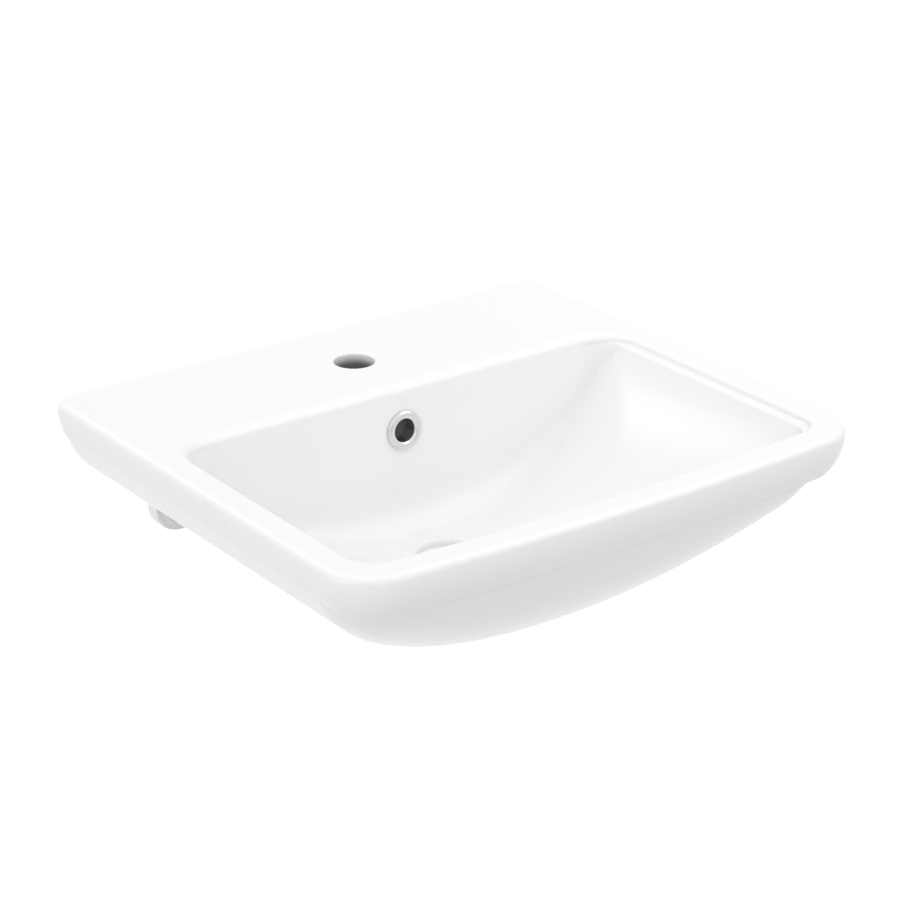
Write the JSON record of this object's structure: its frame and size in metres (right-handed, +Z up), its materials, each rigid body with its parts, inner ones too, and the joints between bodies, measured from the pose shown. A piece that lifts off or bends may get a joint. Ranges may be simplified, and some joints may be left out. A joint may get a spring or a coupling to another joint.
{
  "type": "wall hung basin",
  "caption": "Rectangular glazed china wash basin that hangs on a wall, with a bowed front, a deck with a tap hole, a chrome overflow ring and screw fixings.",
  "frame": {"origin": "on the wall face, midway between the two fixing screws", "axes": "X along the wall, +Y into the wall, +Z up; the bowl stands out towards -Y"},
  "size_m": [0.5, 0.5199, 0.172],
  "materials": {
    "white_glaze": "glossy",
    "chrome": "polished",
    "zinc_steel": "satin",
    "bush_nylon": "satin",
    "plug_nylon": "matte"
  },
  "bodies": {
    "root": {"ceramic_basin": "white_glaze", "overflow_ring": "chrome", "hanger_screw_left": "zinc_steel", "wall_plug_left": "plug_nylon", "fixing_bush_left": "bush_nylon", "fixing_washer_left": "zinc_steel", "fixing_nut_left": "zinc_steel", "hanger_screw_right": "zinc_steel", "wall_plug_right": "plug_nylon", "fixing_bush_right": "bush_nylon", "fixing_washer_right": "zinc_steel", "fixing_nut_right": "zinc_steel"}
  },
  "joints": []
}
